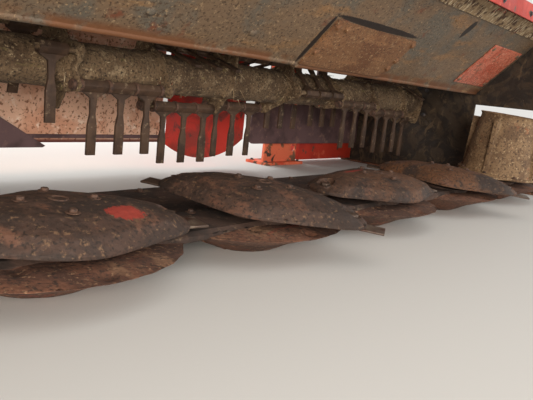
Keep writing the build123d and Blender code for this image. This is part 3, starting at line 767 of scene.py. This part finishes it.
def make_disc_bolts(i):
    """Four hub bolts, lower where the crown falls away across the disc, and the hub's ring."""
    bolt_circle = 0.047
    heights = (0.0395, 0.0365)
    at = disc_frame(i)
    bm = bmesh.new()
    for k in range(4):
        add_bolt(bm, on_circle(at, bolt_circle, k * pi / 2, heights[k % 2]), 0.010)
    add_ring(bm, at @ Matrix.Translation((0, 0, 0.0410)), 0.008, 0.013, -0.002, 0.0012)
    soften(bm, 0.0006, segments=1)
    finish_piece(f"disc_{i}_bolts", bm, f"disc_{i}", "dark_steel", "bolt_rust")


def make_discs():
    """All the discs; those with a drum carry no hub bolts."""
    for i in range(disc_count):
        if i in drum_tops:
            make_disc(i, "drum_rust")
        else:
            make_disc(i, "rusty_disc")
            make_disc_bolts(i)


def make_drum_bolts():
    """Bolts round the foot and on the top of the two drums, each riding with its disc."""
    foot_circle, top_circle = 0.117, 0.060
    for i, top in drum_tops.items():
        at = disc_frame(i)
        top_plate = top - at.translation.z - 0.008
        bm = bmesh.new()
        for k in range(8):
            add_bolt(bm, on_circle(at, foot_circle, k * pi / 4 + 0.2, 0.0105), 0.009)
        for k in range(4):
            add_bolt(bm, on_circle(at, top_circle, k * pi / 2 + pi / 4, top_plate), 0.009)
        finish_bolts(f"drum_{i}_bolts", bm, f"disc_{i}", "bolt_rust")


def make_blades():
    """Blades and their bolt heads, worn round at the edges."""
    for i in range(disc_count):
        node = f"blades_{i}"
        bm = copy_of(node)
        soften(bm, 0.0012, segments=2)
        finish_piece(f"{node}_worn", bm, f"disc_{i}", "blade_steel", stands_for=(node,))


# Cutterbar and skids
def make_bar():
    """Cutterbar under dried dirt, and the row of bolts between the gear cases."""
    bar_top, bolt_y = 0.0600, 0.055
    bm = copy_of("cutterbar")
    soften(bm, 0.0025, segments=2)
    cut_fine(bm, 0.018)
    crust(bm, 0.0012, 0.035, seed=21)
    finish_piece("cutterbar_dirty", bm, HEAD, "bar_casting", stands_for=("cutterbar",))
    bolts = bmesh.new()
    for disc_x in disc_xs[:-1]:
        for dx in (-0.085, -0.03, 0.03, 0.085):
            spot = (disc_x + disc_pitch / 2 + dx, bolt_y, bar_top)
            add_bolt(bolts, facing(spot, (0, 0, 1)), 0.010)
    finish_bolts("cutterbar_bolts", bolts, look="bolt_rust")


def make_skids():
    """Skid shoes with round worn edges, the pressed ovals in each nose and bolts at the rear."""
    nose_top, rail_y, rail_top = 0.050, 0.275, 0.0483
    bm = copy_of("skid_shoes")
    soften(bm, 0.0025, segments=2, sharper_than=50)
    cut_fine(bm, 0.011)
    for x in disc_xs:
        for dx, y in ((-0.004, -0.116), (-0.084, -0.060)):
            press(bm, (x + dx, y, nose_top), (0.015, 0.018, 0.012), (0, 0, -0.0060))
    crust(bm, 0.0012, 0.045, seed=31)
    crust(bm, 0.0006, 0.010, seed=32)
    finish_piece("skid_shoes_worn", bm, HEAD, "rust_skid", smooth=35, stands_for=("skid_shoes",))
    heads = bmesh.new()
    for x in disc_xs:
        for side in (-1, 1):
            spot = (x + side * 0.048, rail_y, rail_top)
            add_bolt(heads, facing(spot, (0, 0, 1)), 0.011)
    finish_bolts("skid_bolts", heads, look="bolt_rust")


def make_rear_plate():
    """Rail behind the skid shoes, bent a little along its length."""
    bm = worn_plate("rear_rail", 0.0015, 0.030, 0.0012, 0.20, (0, 0, 1), 41)
    finish_piece("rear_plate_worn", bm, HEAD, "bar_casting", stands_for=("rear_rail",))


# Hood
lip_y, lip_z = 0.207, 0.340
hood_run, hood_rise = 0.188, 0.192
hood_down = Vector((0, -hood_rise, -hood_run)).normalized()
hood_up = Vector((0, -hood_run, hood_rise)).normalized()


def hood_point(x, slope, proud=0.0):
    """Point on the hood's underside that far up the slope from its lip."""
    return Vector((x, lip_y, lip_z)) + hood_up * slope + hood_down * proud


def make_hood():
    """Hood panels beaten out of flat, and the patch and overlap plates on them."""
    for node, seed in (("hood_panel_left", 51), ("hood_panel_right", 54)):
        bm = worn_plate(node, 0.0015, 0.020, 0.0030, 0.16, hood_down, seed)
        press(bm, hood_point(0.80, 0.11), (0.16, 0.09, 0.09), -hood_down * 0.008)
        finish_piece(f"{node}_beaten", bm, HEAD, "hood_rust", stands_for=(node,))
    for node, seed in (("patch_plate", 57), ("overlap_plate", 58)):
        bm = worn_plate(node, 0.0012, 0.015, 0.0012, 0.11, hood_down, seed)
        finish_piece(f"{node}_worn", bm, HEAD, slot_of[node], stands_for=(node,))


def make_front_strip():
    """Edging with transverse ridges along the hood's front edge."""
    ridge_pitch, ridge_depth = 0.016, 0.0022
    bm = copy_of("front_strip")
    soften(bm, 0.0015)
    cut_fine(bm, 0.007)
    bm.normal_update()
    for v in bm.verts:
        if v.normal.dot(hood_down) > 0.5:
            ridge = 0.5 + 0.5 * sin(v.co.x * 2 * pi / ridge_pitch)
            v.co -= hood_down * ridge_depth * ridge * (0.7 + 0.5 * lumps(v.co, 0.05, 7))
    stands_for = ("front_strip",)
    finish_piece("front_strip_ridged", bm, HEAD, "straw_strip", smooth=60, stands_for=stands_for)


def make_hood_bolts():
    """Coach bolts up the hood's slope and the rivets of the overlap plate."""
    rivet_xs, rivet_slopes = (0.985, 1.215), (0.050, 0.192)
    bm = bmesh.new()
    for x in (-0.86, -0.60, -0.34, -0.08):
        for slope in (0.060, 0.235):
            add_dome(bm, facing(hood_point(x, slope), hood_down), 0.009, 0.004)
    for x in (0.60, 0.86):
        add_dome(bm, facing(hood_point(x, 0.240), hood_down), 0.009, 0.004)
    for slope in rivet_slopes:
        for x in rivet_xs:
            add_dome(bm, facing(hood_point(x, slope, 0.0033), hood_down), 0.008, 0.004)
    finish_piece("hood_bolts", bm, HEAD, "hood_rust")


# Side walls, deck and frame
wall_outer, wall_inner = 1.268, 1.260


def mud_share(place):
    """How thick the mud on a side wall may lie: 1 in the middle of the wall, 0 at its edges."""
    across = max(0.0, 1 - ((place.y - 0.40) / 0.42) ** 2)
    upward = max(0.0, 1 - ((place.z - 0.26) / 0.30) ** 2)
    return across * upward


def make_walls():
    """Side walls, caked inside with swirled mud, except under the rotor's bearings."""
    mud_depth, bearing_reach = 0.006, 0.075
    for side in ("left", "right"):
        node = f"side_wall_{side}"
        inner = high_corner(node).x if side == "left" else low_corner(node).x
        bm = copy_of(node)
        soften(bm, 0.0015)
        cut_fine(bm, 0.014)
        inward = 1 if side == "left" else -1
        for v in bm.verts:
            if abs(v.co.x - inner) > 0.001 or (v.co - rotor_place).yz.length < bearing_reach:
                continue
            bend = Vector((0, 0.03 * sin(v.co.z * 40), 0.03 * cos(v.co.y * 34)))
            swirl = lumps(v.co + bend, 0.055, 61)
            v.co.x += inward * mud_depth * mud_share(v.co) * max(0.0, 0.35 + swirl)
        finish_piece(f"{node}_caked", bm, HEAD, "hood_rust", "wall_mud", 60, (node,))


def make_wall_bolts():
    """Bolts round the bearings and along the walls' edges, outside and in."""
    bearing_flange = 0.0143
    bm = bmesh.new()
    for sign in (-1, 1):
        outer = sign * wall_outer
        face = sign * (wall_outer + bearing_flange)
        for dy in (-0.046, 0.046):
            for dz in (-0.046, 0.046):
                spot = (face, rotor_place.y + dy, rotor_place.z + dz)
                add_bolt(bm, facing(spot, (sign, 0, 0)), 0.012)
                inside = (sign * wall_inner, rotor_place.y + dy * 1.05, rotor_place.z + dz * 1.05)
                add_dome(bm, facing(inside, (-sign, 0, 0)), 0.009, 0.004)
        for y in (-0.04, 0.16, 0.36, 0.56, 0.73):
            behind_guard = sign < 0 and 0.0 <= y <= 0.70
            if not behind_guard:
                add_dome(bm, facing((outer, y, 0.550), (sign, 0, 0)), 0.009, 0.004)
        for y in (0.05, 0.30, 0.55, 0.73):
            add_dome(bm, facing((outer, y, 0.040), (sign, 0, 0)), 0.009, 0.004)
    finish_bolts("wall_bolts", bm)


def make_bearings():
    """Bearing housings with round edges, a grease nipple and the shaft's end bolt."""
    housing_x, housing_top, journal_end = 1.290, 0.049, 1.305
    bm = copy_of("rotor_bearings")
    soften(bm, 0.0020)
    for sign in (-1, 1):
        top = (sign * housing_x, rotor_place.y, rotor_place.z + housing_top)
        add_can(bm, facing(top, (0, 0, 1)), 0.0045, -0.002, 0.010, sides=10, top_radius=0.0025)
    finish_piece("rotor_bearings_worn", bm, HEAD, "dark_steel", stands_for=("rotor_bearings",))
    ends = bmesh.new()
    for sign in (-1, 1):
        spot = (sign * journal_end, rotor_place.y, rotor_place.z)
        add_bolt(ends, facing(spot, (sign, 0, 0)), 0.010)
    finish_piece("journal_end_bolts", ends, ROTOR, "dark_steel")


def make_frame_parts():
    """Deck, beams, lugs, end shoes and the rest of the fixed steel, with round edges."""
    for node, width in (
        ("deck", 0.0015),
        ("main_beam", 0.0010),
        ("hitch_lugs", 0.0015),
        ("rear_beam", 0.0015),
        ("corner_box", 0.0020),
        ("end_shoes", 0.0020),
        ("rotor_cover", 0.0010),
        ("gearbox", 0.0025),
        ("drive_guard", 0.0020),
    ):
        bm = copy_of(node)
        soften(bm, width)
        finish_piece(f"{node}_worn", bm, HEAD, slot_of[node], stands_for=(node,))


def make_legs():
    """Rear legs with rust-eaten paint and the bolts of their feet."""
    leg_x, leg_y, foot_top = 0.764, 0.722, 0.0100
    bm = worn_plate("rear_legs", 0.0015, 0.030, 0.0015, 0.12, (0, 1, 0), 71)
    finish_piece("rear_legs_worn", bm, HEAD, "red_paint", "leg_paint", stands_for=("rear_legs",))
    heads = bmesh.new()
    for sign in (-1, 1):
        for dx in (-0.095, 0.095):
            for dy in (-0.012, 0.056):
                spot = (sign * leg_x + dx, leg_y + dy, foot_top)
                add_bolt(heads, facing(spot, (0, 0, 1)), 0.010)
    finish_piece("leg_bolts", heads, HEAD, "dark_steel")


def make_deck_bolts():
    """Bolts of the deck's folded edge, of the lugs' feet and along the rear edge."""
    bolt_count, bolt_span = 12, 2.40
    fold_y, fold_z = -0.096, 0.553
    rear_y, deck_top = 0.735, 0.580
    lug_x, lug_y, lug_foot = 0.45, 0.25, 0.7303
    bm = bmesh.new()
    for k in range(bolt_count):
        x = -bolt_span / 2 + k * bolt_span / (bolt_count - 1)
        add_bolt(bm, facing((x, fold_y, fold_z), (0, -1, 0)), 0.009)
        add_bolt(bm, facing((x, rear_y, deck_top), (0, 0, 1)), 0.009)
    for x in (-lug_x, lug_x):
        for dx in (-0.022, 0.022):
            for dy in (-0.050, 0.050):
                add_bolt(bm, facing((x + dx, lug_y + dy, lug_foot), (0, 0, 1)), 0.009)
    finish_bolts("deck_bolts", bm)


def make_gearbox_bolts():
    """Bolts of the gearbox's cover and of the neck round the input shaft."""
    cover_top, neck_front, neck_circle = 0.530, -0.100, 0.040
    bm = bmesh.new()
    x, _, z = joints["input_spin"]["pos_m"]
    for dx in (-0.070, 0.070):
        for dy in (-0.052, 0.052):
            add_bolt(bm, facing((x + dx, dy, cover_top), (0, 0, 1)), 0.008)
    for k in range(6):
        a = k * pi / 3 + 0.3
        spot = (x + neck_circle * cos(a), neck_front, z + neck_circle * sin(a))
        add_bolt(bm, facing(spot, (0, -1, 0)), 0.007)
    finish_bolts("gearbox_bolts", bm)


def make_guard_details():
    """A bead pressed into the guard round each of its two pulleys, with a bolt in the middle."""
    rotor_pulley = (rotor_place.y, rotor_place.z, 0.105)
    drive_pulley = (0.030, 0.440, 0.062)
    bm = bmesh.new()
    outer = low_corner("drive_guard").x
    for y, z, radius in (rotor_pulley, drive_pulley):
        at = facing((outer, y, z), (-1, 0, 0))
        add_ring(bm, at, radius - 0.006, radius + 0.006, -0.0005, 0.0030, sides=48)
        add_bolt(bm, at, 0.010)
    soften(bm, 0.0010, segments=2)
    finish_piece("drive_guard_beads", bm, HEAD, "red_paint")


# Rear flap and swath boards
def make_flap():
    """Faded flat sheet and the curved red panel beside it."""
    bm = worn_plate("flap_sheet", 0.0012, 0.035, 0.0018, 0.18, (0, 1, 0), 81)
    finish_piece("flap_sheet_faded", bm, FLAP, "faded_sheet", stands_for=("flap_sheet",))
    bm = worn_plate("flap_panel", 0.0010, 0.030, 0.0010, 0.15, (0, 1, 0), 83)
    stands_for = ("flap_panel",)
    finish_piece("flap_panel_worn", bm, FLAP, "red_paint", "panel_paint", stands_for=stands_for)


def make_flap_flange():
    """Dark flange along the sheet's lower edge, from its left end to the curved panel."""
    flange_end = 0.17
    low = low_corner("flap_sheet")
    middle = ((low.x + flange_end) / 2, low.y + 0.006, low.z + 0.016)
    size = Matrix.Diagonal((flange_end - low.x, 0.004, 0.010, 1))
    bm = bmesh.new()
    bmesh.ops.create_cube(bm, size=1, matrix=Matrix.Translation(middle) @ size)
    soften(bm, 0.0010)
    finish_piece("flap_flange", bm, FLAP, "purple_brown")


def make_boards():
    """Swath boards, bent and knocked about."""
    for side, seed in (("left", 91), ("right", 92)):
        node = f"swath_board_{side}"
        bm = worn_plate(node, 0.0015, 0.035, 0.0020, 0.20, (0, 1, 0), seed)
        finish_piece(f"{node}_worn", bm, HEAD, "purple_brown", stands_for=(node,))


def make_input_shaft():
    """Splined shaft with its sharp edges taken off."""
    bm = copy_of("input_shaft")
    soften(bm, 0.0008)
    finish_piece("input_shaft_worn", bm, "input_shaft", "dark_steel", stands_for=("input_shaft",))


make_rotor_core()
make_tines()
make_rod_collars()
make_rotor_straw()
make_discs()
make_drum_bolts()
make_blades()
make_bar()
make_skids()
make_rear_plate()
make_hood()
make_front_strip()
make_hood_bolts()
make_walls()
make_wall_bolts()
make_bearings()
make_frame_parts()
make_legs()
make_deck_bolts()
make_gearbox_bolts()
make_guard_details()
make_flap()
make_flap_flange()
make_boards()
make_input_shaft()


# Floor, light and camera
def make_floor():
    """Plain pale floor, large enough to fill the picture."""
    bm = bmesh.new()
    bmesh.ops.create_grid(bm, x_segments=1, y_segments=1, size=12)
    mesh = bpy.data.meshes.new("floor")
    bm.to_mesh(mesh)
    bm.free()
    pale = bpy.data.materials.new("pale floor")
    pale.use_nodes = True
    shader = pale.node_tree.nodes["Principled BSDF"]
    shader.inputs["Base Color"].default_value = shade(212, 210, 206)
    shader.inputs["Roughness"].default_value = 0.9
    mesh.materials.append(pale)
    floor = bpy.data.objects.new("floor", mesh)
    bpy.context.scene.collection.objects.link(floor)


def soft_lamp(name, place, target, power, size, colour=(1.0, 1.0, 1.0)):
    """Adds a square area lamp that shines from its place at a target."""
    lamp = bpy.data.lights.new(name, "AREA")
    lamp.energy = power
    lamp.size = size
    lamp.color = colour
    holder = bpy.data.objects.new(name, lamp)
    holder.location = place
    aim = Vector(target) - Vector(place)
    holder.rotation_euler = aim.to_track_quat("-Z", "Y").to_euler()
    bpy.context.scene.collection.objects.link(holder)


def make_light():
    """Even light all round, a warm key low on the camera's side, a fill and a lamp behind."""
    world = bpy.data.worlds.new("studio")
    bpy.context.scene.world = world
    world.use_nodes = True
    background = world.node_tree.nodes["Background"]
    background.inputs["Color"].default_value = (1.0, 0.98, 0.94, 1.0)
    background.inputs["Strength"].default_value = 0.8
    warm = (1.0, 0.93, 0.84)
    soft_lamp("key", (-2.3, -2.1, 0.65), (0.1, 0.6, 0.25), 90, 1.2, warm)
    soft_lamp("fill", (2.4, -2.8, 0.9), (0.2, 0.2, 0.2), 50, 2.5)
    soft_lamp("rear", (0.5, 3.2, 1.6), (0.0, 0.5, 0.3), 90, 2.5)


def make_camera():
    """Camera at the photograph's angle, low in front of the bar on its left."""
    focal_pixels, image_width, sensor_width = 600, 533, 36.0
    place = Vector((-1.007, -0.663, 0.283))
    look = Vector((0.765, 0.6164, -0.1865)).normalized()
    right = look.cross(Vector((0.0765, 0.2005, 0.9767))).normalized()
    up = right.cross(look)
    data = bpy.data.cameras.new("camera")
    data.sensor_width = sensor_width
    data.lens = sensor_width * focal_pixels / image_width
    data.clip_start = 0.01
    camera = bpy.data.objects.new("camera", data)
    turn = Matrix((right, up, -look)).transposed().to_4x4()
    camera.matrix_world = Matrix.Translation(place) @ turn
    bpy.context.scene.collection.objects.link(camera)
    bpy.context.scene.camera = camera


make_floor()
make_light()
make_camera()
bpy.context.scene.view_settings.view_transform = "Standard"
